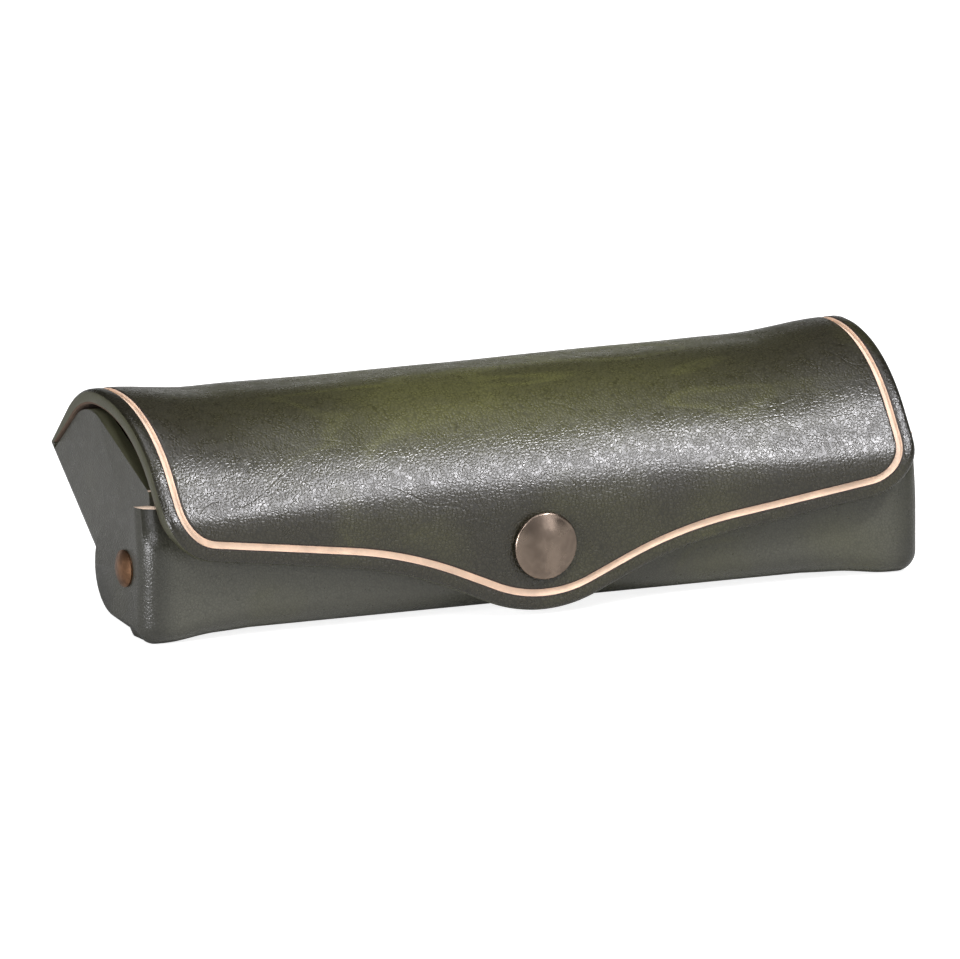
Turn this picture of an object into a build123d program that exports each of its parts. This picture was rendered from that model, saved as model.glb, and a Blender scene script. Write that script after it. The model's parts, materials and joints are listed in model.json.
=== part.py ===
"""Moulded leather glasses case: one folded leather sheet with a hinged lid, a ring snap and two rivets.

Millimetres, +Z up. X runs along the case, and the front with the snap faces -Y. While the case is drawn,
Y = 0 is the front wall's outer face and Z = 0 the floor; at the end the pieces move so that the origin is
the middle of the case's underside.
"""
import os
from copy import copy
from math import atan2, cos, degrees, radians, sin, tan

from build123d import *

# Driving dimensions.
leather = 3.0  # thickness of the sheet
skived = 1.6  # the sheet pared thin where it bends at the lid hinge
hinge_play = 0.15  # between the bend's bead and the hollow in the lid
case_length = 168.0  # over the two ears
lid_length = 162.8
front_height = 27.5
front_lean = 1.6  # how far the front wall's top leans back
lean_start = 16.0  # height where the front wall starts to lean
lean_radius = 40.0
fold_radius = 6.0  # front-bottom fold, outside, along the middle
end_fold_radius = 4.4  # the same fold, pinched tighter at the two ends
bottom_lift = 1.8  # how much higher the bottom runs in the middle than at its ends
end_cap = 5.0  # length of the ends that keep the end shape
end_run = 16.0  # length over which an end's shape changes into the middle's
corner_radius = 4.0  # front corners, outside, where the ears fold round
back_angle = 39.5  # back wall, degrees from the floor
heel_y = 15.4  # where the back wall's outer face would reach the floor
heel_radius = 12.0
hinge_y = 52.0  # outer corner of the hinge bend
lid_rear_angle = 47.0  # rise of the lid's rear face, degrees
crown_height = 46.0  # top of the lid at its ends
crown_sag = 2.0  # how much lower the crown is in the middle
crown_rear_share = 0.325  # part of the crown's flat, at the lid's ends, that the rear bend takes
crown_front_share = 0.648  # part of the shorter run beside the front bend that it takes
brow_angle = 51.9  # fall of the lid's front slope, degrees
brow_y = -3.6  # a point on that slope
brow_z = 26.3
knee_radius = 9.0  # at the lid's ends
middle_knee_radius = 15.0
flap_y = -5.0  # outer face of the hanging flap
lid_opening = 120.0  # degrees from shut

# Flap outline, seen from the front.
side_edge_z = 18.5  # where the lower edge would meet the flap's sides
side_corner_radius = 11.6
lower_edge_slope = 7.7  # degrees
tongue_slope = 23.3
tongue_shoulder_x = 30.2
tongue_shoulder_radius = 86.0
tongue_tip_radius = 29.0

groove_inset = 3.6  # edge of the flap to the middle of the groove
groove_width = 1.6
groove_depth = 0.8

# Gusset: the end panel folded from the back wall.
gusset_gap = 0.3  # clear of the front wall, the bottom and the lid
gusset_fold_radius = 2.6
gusset_rear_angle = 41.0  # rise of its top edge from the hinge, degrees
gusset_crown_radius = 11.0
gusset_front_angle = 24.4  # fall of its top edge towards the front, degrees
gusset_front_z = 27.7  # where that edge would meet the front wall's face
gusset_nose_radius = 1.5

# Ear: the tab folded round the front corner, outside the gusset.
ear_gap = 0.2
ear_back_y = 23.5
ear_top_y = 6.0  # where the ear's top edge starts to fall
ear_bottom_z = 2.1
ear_bottom_slope = 6.6
ear_top_slope = 24.6
ear_top_radius = 9.5
ear_bottom_radius = 9.2
ear_nose_radius = 3.0
ear_foot_y = 4.0  # depth of the corner's foot in front of the ear's lower edge
ear_foot_radius = 1.0

# Rivet through ear and gusset.
rivet_y = 10.5
rivet_z = 14.2
rivet_head_diameter = 7.4
rivet_head_height = 1.5
rivet_rim_height = 0.4
rivet_shank_diameter = 3.2
rivet_bore_diameter = 1.8
rivet_base_height = 0.8
rivet_pin_reach = 1.2  # how far under the head's seat the base's pin ends
dimple_diameter = 10.4
dimple_depth = 0.45

# Ring snap.
snap_z = 14.2
cap_diameter = 13.4
cap_height = 2.2
cap_rim_height = 1.0
cap_sheet = 0.45
stem_diameter = 3.8
stem_wall = 0.5
stem_flange_diameter = 11.6
stem_flange_height = 0.5
stem_roll_diameter = 5.4
stem_roll_height = 0.4
socket_diameter = 11.4
socket_height = 2.8
socket_seat = 0.9  # how deep the socket is pressed into the flap
socket_mouth_diameter = 6.6
socket_sheet = 0.3
spring_wire = 0.6
spring_gap = 1.6
stud_flange_diameter = 10.0
stud_flange_height = 0.5
stud_seat = 0.7  # how deep the stud is pressed into the front wall
stud_head_diameter = 6.3
stud_neck_diameter = 5.4
stud_height = 2.5
stud_head_height = 0.7
stud_sheet = 0.4
eyelet_diameter = 3.8
eyelet_wall = 0.4
eyelet_flange_diameter = 9.6
eyelet_flange_height = 0.7
eyelet_seat = 0.3  # how deep its flange is pressed into the front wall from inside
eyelet_reach = 1.6  # how far it reaches into the stud
fit = 0.05  # clearance between metal pieces, and between metal and leather

# Working sizes that only have to be large enough.
work_top = 40.0
block_back = 30.0
lid_top = 70.0
front_block_floor = 5.0

half_case = case_length / 2
half_lid = lid_length / 2
wall_half = half_case - leather - ear_gap
forward = (0, -1, 0)
cap_back = (0, flap_y, snap_z)
stud_back = (0, 0, snap_z)


def at_angle(angle):
    """A unit step in a flat section, at an angle in degrees from its first axis."""
    return Vector(cos(radians(angle)), sin(radians(angle)))


def meet(p, p_angle, q, q_angle):
    """Where the line through p at p_angle meets the line through q at q_angle."""
    p, q, u, v = Vector(p), Vector(q), at_angle(p_angle), at_angle(q_angle)
    return p + u * (((q.X - p.X) * v.Y - (q.Y - p.Y) * v.X) / (u.X * v.Y - u.Y * v.X))


def inset(points, distance):
    """The corners of an open path moved to its left by distance, with its ends square to their runs."""
    points = [Vector(p) for p in points]
    angles = [degrees(atan2((b - a).Y, (b - a).X)) for a, b in zip(points, points[1:])]
    shifts = [at_angle(angle + 90) * distance for angle in angles]
    moved = [points[0] + shifts[0]]
    for corner, before, after, a, b in zip(points[1:], angles, angles[1:], shifts, shifts[1:]):
        moved.append(meet(corner + a, before, corner + b, after))
    return moved + [points[-1] + shifts[-1]]


def sheet(outer, radii, near=0.0, far=leather, pared=None):
    """Section of the leather between two depths under its outer face, whose bends have the given radii.

    pared is the path's end where the sheet is thinned for the hinge: 0 its first point, -1 its last.
    """
    outside, inside = inset(outer, near), inset(outer, far)
    if pared is not None:
        inside[pared] = inset(outer, skived)[pared]
    face_path = FilletPolyline(*outside, radius=[r - near for r in radii])
    back_path = FilletPolyline(*inside, radius=[r - far for r in radii])
    ends = [Line(face_path @ 0, back_path @ 0), Line(face_path @ 1, back_path @ 1)]
    return make_face(face_path.edges() + back_path.edges() + ends)


def across(section, x):
    """A (y, z) section stood up in the plane at x."""
    return Plane(origin=(x, 0, 0), x_dir=(0, 1, 0), z_dir=(1, 0, 0)) * section


def slab(section, near, far):
    """A (y, z) section extruded from x = near to x = far."""
    return extrude(across(section, near), amount=far - near, dir=(1, 0, 0))


def along(middle, end, half):
    """One section in the middle that changes into another towards both ends, where it stays for end_cap."""
    stay, flat = half - end_cap, half - end_cap - end_run
    body = slab(middle, -flat, flat) + slab(end, stay, half) + slab(end, -half, -stay)
    for side in (-1, 1):
        body += loft([across(end, side * stay), across(middle, side * flat)], ruled=True)
    return body


def from_front(outline, near=-20.0, far=70.0):
    """An (x, z) outline, seen from the front, extruded from y = near to y = far."""
    plane = Plane(origin=(0, far, 0), x_dir=(1, 0, 0), z_dir=(0, -1, 0))
    return extrude(plane * outline, amount=far - near)


def turned(profile, origin, direction):
    """A (radius, height) profile turned about the axis that leaves origin along direction."""
    return Plane(origin=origin, z_dir=direction) * revolve(Plane.XZ * profile, Axis.Z)


def rings(*corners):
    """Face of a closed (radius, height) outline with straight sides."""
    return make_face(Polyline(*corners, close=True))


# Hinge bend: the pared sheet turns round an axis on its inner face.
hinge_z = (hinge_y - heel_y) * tan(radians(back_angle))
rear_direction = 180 - lid_rear_angle
hinge_corner_angle = 180 + back_angle - rear_direction
hinge_axis = Vector(hinge_y, hinge_z) + at_angle(rear_direction + hinge_corner_angle / 2) * (
    skived / sin(radians(hinge_corner_angle / 2))
)
back_end = hinge_axis + at_angle(back_angle - 90) * skived
lid_end = hinge_axis + at_angle(rear_direction - 90) * skived


def wall_path(lift):
    """Corners of the outer face, from above the front wall's top, round the bottom, to the hinge."""
    foot = (0, lift)
    lean = degrees(atan2(front_height - lean_start, front_lean))
    top = meet((0, lean_start), lean, (0, work_top), 0)
    heel = meet(foot, 0, (heel_y, 0), back_angle)
    return [top, (0, lean_start), foot, heel, back_end]


def wall_radii(fold):
    return [lean_radius, fold, heel_radius]


def front_block(depth):
    """Everything behind the front face and above the bottom, both moved in by depth, with round corners."""
    front = inset(wall_path(0)[:3] + [(block_back, 0)], depth)
    path = FilletPolyline(*front, radius=[lean_radius - depth, end_fold_radius - depth])
    back = (block_back, work_top)
    face = make_face(path.edges() + [Line(path @ 1, back), Line(back, path @ 0)])
    half = half_case - depth
    block = slab(face, -half, half)
    rims = [
        edge
        for edge in block.edges()
        if abs(abs(edge.center().X) - half) < 0.01
        and edge.center().Y < block_back - 0.01
        and edge.center().Z < work_top - 0.01
    ]
    return fillet(rims, corner_radius - depth)


def rear_block():
    """A long bar whose face is the back wall's outer face, with the gusset folds rounded along its edges."""
    bar_width = 2 * wall_half
    half_plan = Rectangle(bar_width, work_top, align=(Align.CENTER, Align.MIN))
    corners = half_plan.vertices().sort_by(Axis.Y)[:2]
    plan = fillet(corners, gusset_fold_radius)
    run = at_angle(back_angle)
    start = Vector(0, heel_y, 0) - Vector(0, run.X, run.Y) * work_top
    return extrude(Plane(origin=start, x_dir=(-1, 0, 0), z_dir=(0, run.X, run.Y)) * plan, amount=3 * work_top)


def gusset_outline():
    """The end panel: back wall's outer face, round the heel, up inside the front wall, over under the lid."""
    clear = inset(wall_path(0), leather + gusset_gap)
    heel_out = clear[3] + at_angle(back_angle - 90) * (leather + gusset_gap)
    tail = hinge_axis + at_angle(rear_direction + 90) * gusset_gap
    crown = meet(tail, 180 - gusset_rear_angle, (0, gusset_front_z), gusset_front_angle)
    front_angle = degrees(atan2((clear[0] - clear[1]).Y, (clear[0] - clear[1]).X))
    nose = meet(clear[1], front_angle, (0, gusset_front_z), gusset_front_angle)
    path = FilletPolyline(
        tail,
        crown,
        nose,
        clear[1],
        clear[2],
        clear[3],
        radius=[gusset_crown_radius, gusset_nose_radius, lean_radius, end_fold_radius - leather],
    )
    rest = Polyline(path @ 1, heel_out, back_end, tail)
    return make_face(path.edges() + rest.edges())


def ear_outline():
    """Side view of the tab, with the front corner's foot in front of its lower edge."""
    top_back = meet((ear_top_y, front_height), -ear_top_slope, (ear_back_y, 0), 90)
    bottom_back = meet((0, ear_bottom_z), ear_bottom_slope, (ear_back_y, 0), 90)
    foot_back = meet((0, ear_bottom_z), ear_bottom_slope, (ear_foot_y, 0), 90)
    below = -ear_foot_y
    path = FilletPolyline(
        (below, front_height),
        (ear_top_y, front_height),
        top_back,
        bottom_back,
        foot_back,
        (ear_foot_y, below),
        radius=[ear_nose_radius, ear_top_radius, ear_bottom_radius, ear_foot_radius],
    )
    return make_face(path.edges() + Polyline(path @ 1, (below, below), path @ 0).edges())


def both_ends(section, near, far):
    """A (y, z) section extruded from near to far on the right, and its mirror image."""
    right = slab(section, near, far)
    return right + mirror(right, Plane.YZ)


def make_body():
    wall = along(
        sheet(wall_path(bottom_lift), wall_radii(fold_radius), pared=-1),
        sheet(wall_path(0), wall_radii(end_fold_radius), pared=-1),
        wall_half,
    )
    block = front_block(0)
    behind = Pos(0, block_back, 0) * Box(
        case_length, work_top * 2, work_top * 4, align=(Align.CENTER, Align.MIN, Align.CENTER)
    )
    above = Pos(0, 0, front_height) * Box(
        case_length, block_back, work_top, align=(Align.CENTER, Align.CENTER, Align.MIN)
    )
    wall = (wall & (block + behind)) - above

    bead_end = hinge_axis + at_angle(rear_direction) * skived
    bead_middle = hinge_axis + at_angle((back_angle - 90 + rear_direction) / 2) * skived
    bead_rim = ThreePointArc(back_end, bead_middle, bead_end)
    bead_face = make_face([bead_rim.edge(), Line(bead_rim @ 1, hinge_axis), Line(hinge_axis, bead_rim @ 0)])
    bead = slab(bead_face, -wall_half, wall_half)
    gussets = both_ends(gusset_outline(), wall_half - leather, wall_half)

    shell = block - front_block(leather)
    ears = shell & both_ends(ear_outline(), half_case - corner_radius - 1, half_case)
    between_ears = case_length - 2 * leather
    ears -= Pos(0, ear_foot_y, 0) * Box(
        between_ears, block_back, 2 * front_block_floor, align=(Align.CENTER, Align.MIN, Align.CENTER)
    )

    body = ((wall + bead + gussets) & rear_block()) + ears
    for side in (-1, 1):
        body -= turned(rivet_seat_face(), (side * half_case, rivet_y, rivet_z), (side, 0, 0))
    return body - turned(snap_seat_face(), stud_back, forward)


def snap_seat_face():
    """The eyelet's bore with the stud's seat pressed in from the front and the eyelet's from inside."""
    stud, bore = stud_flange_diameter / 2 + fit, eyelet_diameter / 2 + fit
    eyelet, inside = eyelet_flange_diameter / 2 + fit, eyelet_seat - leather
    return rings(
        (0, leather),
        (stud, leather),
        (stud, -stud_seat),
        (bore, -stud_seat),
        (bore, inside),
        (eyelet, inside),
        (eyelet, -2 * leather),
        (0, -2 * leather),
    )


def rivet_seat_face():
    """The rivet's bore and the pressed hollow round its head, which slopes out to the ear's face."""
    flat, rim, bore = rivet_head_diameter / 2 + fit, dimple_diameter / 2, rivet_shank_diameter / 2 + fit
    through = -3 * leather
    return rings(
        (0, 1),
        (rim + (rim - flat) / dimple_depth, 1),
        (rim, 0),
        (flat, -dimple_depth),
        (bore, -dimple_depth),
        (bore, through),
        (0, through),
    )


def lid_path(crown):
    """Corners of the outer face, from the hinge over the crown and down the flap."""
    brow_point = (brow_y, brow_z)
    rear_top = meet(lid_end, rear_direction, (0, crown), 0)
    brow = meet(brow_point, 180 + brow_angle, (0, crown), 0)
    knee = meet(brow_point, 180 + brow_angle, (flap_y, 0), 90)
    return [lid_end, rear_top, brow, knee, (flap_y, -leather)]


def lid_radii(knee):
    """Radii of the outer face's bends; those of the crown come from the runs beside them."""
    end, middle = lid_path(crown_height), lid_path(crown_height - crown_sag)
    flat, slope = (end[1] - end[2]).length, (middle[2] - middle[3]).length
    rear = crown_rear_share * flat / tan(radians(lid_rear_angle / 2))
    front = crown_front_share * min(flat, slope) / tan(radians(brow_angle / 2))
    return [rear, front, knee]


def lid_sheet(near=0.0, far=leather, pared=0):
    """The whole lid's leather between two depths under its outer face, before its outline is cut."""
    middle = sheet(lid_path(crown_height - crown_sag), lid_radii(middle_knee_radius), near, far, pared)
    end = sheet(lid_path(crown_height), lid_radii(knee_radius), near, far, pared)
    return along(middle, end, half_lid + leather)


def flap_outline(depth):
    """Front view of the lid's edge moved in by depth: straight sides, wavy lower edge and tongue."""
    corner = (half_lid, side_edge_z)
    shoulder = meet(corner, lower_edge_slope, (tongue_shoulder_x, 0), 90)
    tip = meet(shoulder, tongue_slope, (0, 0), 90)
    right = [shoulder, Vector(corner), Vector(half_lid, lid_top)]
    left = [Vector(-p.X, p.Y) for p in reversed(right)]
    radii = [
        side_corner_radius - depth,
        tongue_shoulder_radius + depth,
        tongue_tip_radius - depth,
        tongue_shoulder_radius + depth,
        side_corner_radius - depth,
    ]
    path = FilletPolyline(*inset(left + [tip] + right, depth), radius=radii)
    return make_face(path.edges() + [Line(path @ 1, path @ 0)])


def make_lid():
    lid = lid_sheet() & from_front(flap_outline(0))
    groove = flap_outline(groove_inset - groove_width / 2) - flap_outline(groove_inset + groove_width / 2)
    lid -= lid_sheet(-leather, groove_depth, None) & from_front(groove)
    lid -= Pos(0, hinge_axis.X, hinge_axis.Y) * Rot(0, 90, 0) * Cylinder(skived + hinge_play, 2 * case_length)
    seat, bore = socket_diameter / 2 + fit, stem_diameter / 2 + fit
    inner, behind = socket_seat - leather, -2 * leather
    snap_hole = rings(
        (0, leather),
        (bore, leather),
        (bore, inner),
        (seat, inner),
        (seat, behind),
        (0, behind),
    )
    return lid - turned(snap_hole, cap_back, forward)


def dome_arc(reach, edge, top):
    """Arc of a shallow dome in (radius, height), from its top on the axis to its edge."""
    sphere = (reach**2 + (top - edge) ** 2) / (2 * (top - edge))
    half = top - sphere + (sphere**2 - reach**2 / 4) ** 0.5
    return ThreePointArc((0, top), (reach / 2, half), (reach, edge))


def make_cap():
    """A domed brass shell with a rolled rim."""
    rim, roll_radius = cap_diameter / 2, cap_rim_height / 2
    dome = dome_arc(rim - roll_radius, cap_rim_height, cap_height)
    roll = ThreePointArc((rim - roll_radius, cap_rim_height), (rim, roll_radius), (rim - roll_radius, 0))
    inner = rim - 2 * cap_sheet
    under = dome_arc(inner, cap_rim_height - cap_sheet, cap_height - cap_sheet)
    sides = Polyline(roll @ 1, (inner, 0), under @ 1)
    outline = [dome.edge(), roll.edge(), under.edge(), Line(under @ 0, dome @ 0)] + sides.edges()
    return turned(make_face(outline), cap_back, forward)


def make_stem():
    """The cap's flanged tube, rolled over inside the socket."""
    outer, bore = stem_diameter / 2, stem_diameter / 2 - stem_wall
    flange = cap_diameter / 2 - 2 * cap_sheet - fit
    roll_start = socket_seat - leather - socket_sheet
    roll_end = roll_start - stem_roll_height
    return turned(
        rings(
            (bore, stem_flange_height),
            (flange, stem_flange_height),
            (flange, 0),
            (outer, 0),
            (outer, roll_start),
            (stem_roll_diameter / 2, roll_start),
            (stem_roll_diameter / 2, roll_end),
            (bore, roll_end),
        ),
        cap_back,
        forward,
    )


def make_socket():
    """The pressed cup that holds the spring; its mouth lets the stud's head in."""
    top = socket_seat - leather
    bottom = top - socket_height
    outer, hole, mouth = socket_diameter / 2, stem_diameter / 2 + fit, socket_mouth_diameter / 2
    return turned(
        rings(
            (hole, top),
            (outer, top),
            (outer, bottom),
            (mouth, bottom),
            (mouth, bottom + socket_sheet),
            (outer - socket_sheet, bottom + socket_sheet),
            (outer - socket_sheet, top - socket_sheet),
            (hole, top - socket_sheet),
        ),
        cap_back,
        forward,
    )


def make_spring():
    """A split ring of round wire that lies in the socket's mouth, round the stud's neck."""
    middle = (stud_neck_diameter + spring_wire) / 2 + fit
    level = socket_seat - leather - socket_height + socket_sheet + spring_wire / 2 + fit
    gap = Pos(middle, 0, 0) * Box(2 * spring_wire, spring_gap, 2 * spring_wire)
    ring = Torus(middle, spring_wire / 2) - gap
    return Plane(origin=(0, flap_y - level, snap_z), z_dir=forward) * ring


def make_stud():
    """A pressed stud: flange, neck and wider head, hollow from behind."""
    back, front = -stud_seat, stud_height - stud_seat
    flange, neck, head = stud_flange_diameter / 2, stud_neck_diameter / 2, stud_head_diameter / 2
    hollow = neck - stud_sheet
    return turned(
        rings(
            (hollow, back),
            (flange, back),
            (flange, back + stud_flange_height),
            (neck, back + stud_flange_height),
            (neck, front - stud_head_height),
            (head, front - stud_head_height * 0.8),
            (head, front - stud_head_height * 0.4),
            (neck, front),
            (0, front),
            (0, front - stud_sheet),
            (hollow, front - stud_sheet),
        ),
        stud_back,
        forward,
    )


def make_eyelet():
    """The flanged tube that comes through the front wall from inside and is spread in the stud's hollow."""
    tube = eyelet_diameter / 2
    bore = tube - eyelet_wall
    flange, spread = eyelet_flange_diameter / 2, stud_neck_diameter / 2 - stud_sheet - fit
    inside, tip = eyelet_seat - leather, eyelet_reach - stud_seat
    return turned(
        rings(
            (bore, inside - eyelet_flange_height),
            (flange, inside - eyelet_flange_height),
            (flange, inside),
            (tube, inside),
            (tube, tip - eyelet_wall),
            (spread, tip - eyelet_wall),
            (spread, tip),
            (bore, tip),
        ),
        stud_back,
        forward,
    )


def make_rivet(side):
    """The domed cap with its tube, outside the ear, and the base with its pin, inside the gusset."""
    outward = (side, 0, 0)
    seat = (side * (half_case - dimple_depth), rivet_y, rivet_z)
    grip = half_case - dimple_depth - (wall_half - leather)
    head, shank, bore = rivet_head_diameter / 2, rivet_shank_diameter / 2, rivet_bore_diameter / 2
    dome = dome_arc(head, rivet_rim_height, rivet_head_height)
    sides = Polyline(
        dome @ 1,
        (head, 0),
        (shank, 0),
        (shank, -grip),
        (bore, -grip),
        (bore, -rivet_pin_reach),
        (0, -rivet_pin_reach),
        dome @ 0,
    )
    cap = turned(make_face([dome.edge()] + sides.edges()), seat, outward)
    pin = bore - fit
    base = turned(
        rings(
            (0, -rivet_pin_reach - fit),
            (pin, -rivet_pin_reach - fit),
            (pin, -grip),
            (head, -grip),
            (head, -grip - rivet_base_height / 2),
            (head * 0.8, -grip - rivet_base_height),
            (0, -grip - rivet_base_height),
        ),
        seat,
        outward,
    )
    return cap, base


pieces = {
    "case_body": make_body(),
    "lid": make_lid(),
    "snap_cap": make_cap(),
    "cap_stem": make_stem(),
    "snap_socket": make_socket(),
    "socket_spring": make_spring(),
    "snap_stud": make_stud(),
    "stud_eyelet": make_eyelet(),
}
for name, side in (("left", -1), ("right", 1)):
    pieces[name + "_rivet_cap"], pieces[name + "_rivet_base"] = make_rivet(side)

box = Compound(children=[copy(piece) for piece in pieces.values()]).bounding_box()
to_origin = Pos(0, -(box.min.Y + box.max.Y) / 2, -box.min.Z)
os.makedirs("parts", exist_ok=True)
for name, piece in pieces.items():
    placed = to_origin * piece
    placed.label = name
    export_step(placed, f"parts/{name}.step")

moved = to_origin.position
print(f"origin moved by y {moved.Y:.3f}, z {moved.Z:.3f}")
print(f"hinge axis at y {hinge_axis.X + moved.Y:.3f}, z {hinge_axis.Y + moved.Z:.3f}")
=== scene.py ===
"""Moulded leather glasses case, dressed for its portrait.

One sheet of dyed calf leather, folded and moulded, with a hinged lid, a ring snap and two rivets, built
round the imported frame. Metres, +Z up, X along the case, the front with the snap towards -Y.
"""
import json
from functools import lru_cache
from math import asin, atan2, cos, hypot, pi, radians, sin, tan

import bmesh
import bpy
from bpy.props import FloatProperty, FloatVectorProperty, PointerProperty
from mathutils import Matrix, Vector, noise


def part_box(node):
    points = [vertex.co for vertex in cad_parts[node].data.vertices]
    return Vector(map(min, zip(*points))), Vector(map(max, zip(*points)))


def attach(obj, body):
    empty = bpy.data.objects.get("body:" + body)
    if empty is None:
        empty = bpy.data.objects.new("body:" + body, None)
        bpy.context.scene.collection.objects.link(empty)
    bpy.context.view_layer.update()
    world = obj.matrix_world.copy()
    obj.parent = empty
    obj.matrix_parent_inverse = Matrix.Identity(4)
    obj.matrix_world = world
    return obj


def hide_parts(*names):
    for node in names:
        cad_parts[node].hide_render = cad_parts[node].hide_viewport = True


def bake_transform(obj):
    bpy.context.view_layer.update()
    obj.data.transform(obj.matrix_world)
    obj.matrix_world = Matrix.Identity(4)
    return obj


bl_info = {
    "name": "Moulded Glasses Case",
    "version": (1, 0, 0),
    "blender": (4, 5, 0),
    "location": "3D View > Sidebar > Case",
    "description": "Leather, metal and studio for a moulded glasses case",
    "category": "Object",
}

MM = 0.001
TOUCHING = 0.001 * MM  # points this near are one point, or lie on a cutting plane
FACING = 0.9  # a face looks along an axis when its normal has more than this share of it

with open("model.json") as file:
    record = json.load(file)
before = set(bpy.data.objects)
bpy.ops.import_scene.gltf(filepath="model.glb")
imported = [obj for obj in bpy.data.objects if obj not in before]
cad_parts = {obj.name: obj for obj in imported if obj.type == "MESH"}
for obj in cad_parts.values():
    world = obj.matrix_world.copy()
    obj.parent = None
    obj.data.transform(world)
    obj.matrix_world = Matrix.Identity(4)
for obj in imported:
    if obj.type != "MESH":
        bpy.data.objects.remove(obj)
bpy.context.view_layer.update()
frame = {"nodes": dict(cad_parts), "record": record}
BODY_LOW, BODY_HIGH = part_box("case_body")
FRONT_Y = BODY_LOW.y  # outer face of the front wall
HALF_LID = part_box("lid")[1].x
PIVOT = frame["record"]["behaviour"]["joints"][0]["pos_m"]
HINGE = Vector((PIVOT[1] - FRONT_Y, PIVOT[2]))  # the pivot in a section: y from the front wall, and z


def size(name, text, default):
    return FloatProperty(name=name, description=text, default=default, unit="LENGTH")


def turn(name, text, default):
    return FloatProperty(name=name, description=text, default=radians(default), subtype="ANGLE")


def linear(hex_colour):
    """An sRGB hex colour as linear red, green and blue."""
    values = [int(hex_colour[k : k + 2], 16) / 255 for k in (0, 2, 4)]
    return [v / 12.92 if v <= 0.04045 else ((v + 0.055) / 1.055) ** 2.4 for v in values]


def colour(name, text, hex_colour):
    return FloatVectorProperty(
        name=name, description=text, default=linear(hex_colour), subtype="COLOR", size=3
    )


class CaseSizes(bpy.types.PropertyGroup):
    """Sizes that the frame doesn't give as a box. Heights are over the floor, y is from the front wall."""

    leather: size("Leather", "Thickness of the sheet", 3.0 * MM)
    skived: size("Skived", "Thickness where the sheet is pared for the hinge", 1.6 * MM)
    crown: size("Crown", "Height of the lid's top at its ends", 46.0 * MM)
    crown_sag: size("Crown sag", "How much lower the top is in the middle", 2.0 * MM)
    crown_rear_radius: size("Rear crown bend", "Radius of the lid's rear bend, outside", 18.98 * MM)
    crown_front_radius: size("Front crown bend", "Radius of the lid's front bend, outside", 32.96 * MM)
    knee_radius: size("Knee bend", "Radius of the bend above the flap at the lid's ends, outside", 9.0 * MM)
    middle_knee_radius: size("Middle knee bend", "The same radius along the lid's middle", 20.0 * MM)
    rear_angle: turn("Rear slope", "Rise of the lid's rear face", 47.0)
    brow_angle: turn("Front slope", "Fall of the lid's front face", 51.9)
    brow_y: size("Slope point, y", "A point on the front slope", -3.6 * MM)
    brow_z: size("Slope point, z", "Height of that point", 26.3 * MM)
    flap_y: size("Flap", "Outer face of the hanging flap", -5.0 * MM)
    side_edge_z: size("Side edge", "Where the lower edge would meet the flap's sides", 18.5 * MM)
    side_corner_radius: size("Flap corner", "Radius of the flap's lower corners", 11.6 * MM)
    lower_edge_slope: turn("Lower edge", "Slope of the flap's lower edge", 7.7)
    tongue_slope: turn("Tongue", "Slope of the tongue's sides", 23.3)
    tongue_shoulder_x: size("Tongue shoulder", "Where the tongue starts, from the middle", 30.2 * MM)
    tongue_shoulder_radius: size("Shoulder bend", "Radius of the curve into the tongue", 86.0 * MM)
    tongue_tip_radius: size("Tongue tip", "Radius of the tongue's end", 29.0 * MM)
    groove_inset: size("Cut line inset", "Flap's edge to the middle of the cut line", 3.6 * MM)
    groove_width: size("Cut line width", "Width of the cut line", 1.36 * MM)
    groove_depth: size("Cut line depth", "Depth of the cut line", 0.8 * MM)
    snap_z: size("Snap", "Height of the snap's axis", 14.2 * MM)
    back_angle: turn("Back wall", "Rise of the back wall", 39.5)
    strip_half: size("Hinge half", "Half the length of the hinge bend", 78.4 * MM)
    cap_diameter: size("Cap", "Diameter of the snap's cap", 13.4 * MM)
    cap_height: size("Cap height", "Height of its dome over the leather", 2.2 * MM)
    cap_rim: size("Cap rim", "Thickness of its rolled rim", 1.0 * MM)
    rivet_diameter: size("Rivet", "Diameter of a rivet's head", 7.4 * MM)
    rivet_height: size("Rivet height", "Height of its dome over its seat", 1.5 * MM)
    rivet_rim: size("Rivet rim", "Height of its edge", 0.4 * MM)


class CaseColours(bpy.types.PropertyGroup):
    """Colours of the finishes."""

    dye: colour("Dye", "Dark green-black of the dyed grain", "2B291F")
    # painted light: the body's dye is paler than the lid's, partly a paler leather and partly the floor's
    # light on the front wall painted in
    body_dye: colour("Body dye", "The same dye on the body, a little paler", "47473E")
    moss: colour("Moss", "Worn green patch on the lid", "4D4D2D")
    natural: colour("Natural", "Undyed leather in the cut line", "E8CFB8")
    dye_line: colour("Dye line", "Dye that has gathered at the cut's two borders", "20140C")
    edge: colour("Cut edge", "Dyed and rubbed cut edge", "3D3D2C")
    flesh: colour("Flesh side", "Inside of the leather", "4A3A2C")
    brass: colour("Brass", "Aged brass of the snap", "8C7D70")
    bronze: colour("Bronze", "Aged bronze of the rivets", "86654C")
    steel: colour("Steel", "Spring wire", "B8B8B4")
    floor: colour("Floor", "Studio floor", "CECECB")


def sizes():
    return bpy.context.scene.case_sizes


def colours():
    return bpy.context.scene.case_colours


# Materials.

RANGE, MATHS, NOISE, MIX = "ShaderNodeMapRange", "ShaderNodeMath", "ShaderNodeTexNoise", "ShaderNodeMix"
EASED = {"interpolation_type": "SMOOTHSTEP"}
COLOURS = {"data_type": "RGBA"}
MIXED = 2  # a Mix node's colour output; its share is input 0 and its two colours are inputs 6 and 7
ABSOLUTE, ADD, SUBTRACT, MULTIPLY, MULTIPLY_ADD, MAXIMUM, SCALE = (
    {"operation": word}
    for word in ("ABSOLUTE", "ADD", "SUBTRACT", "MULTIPLY", "MULTIPLY_ADD", "MAXIMUM", "SCALE")
)
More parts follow.
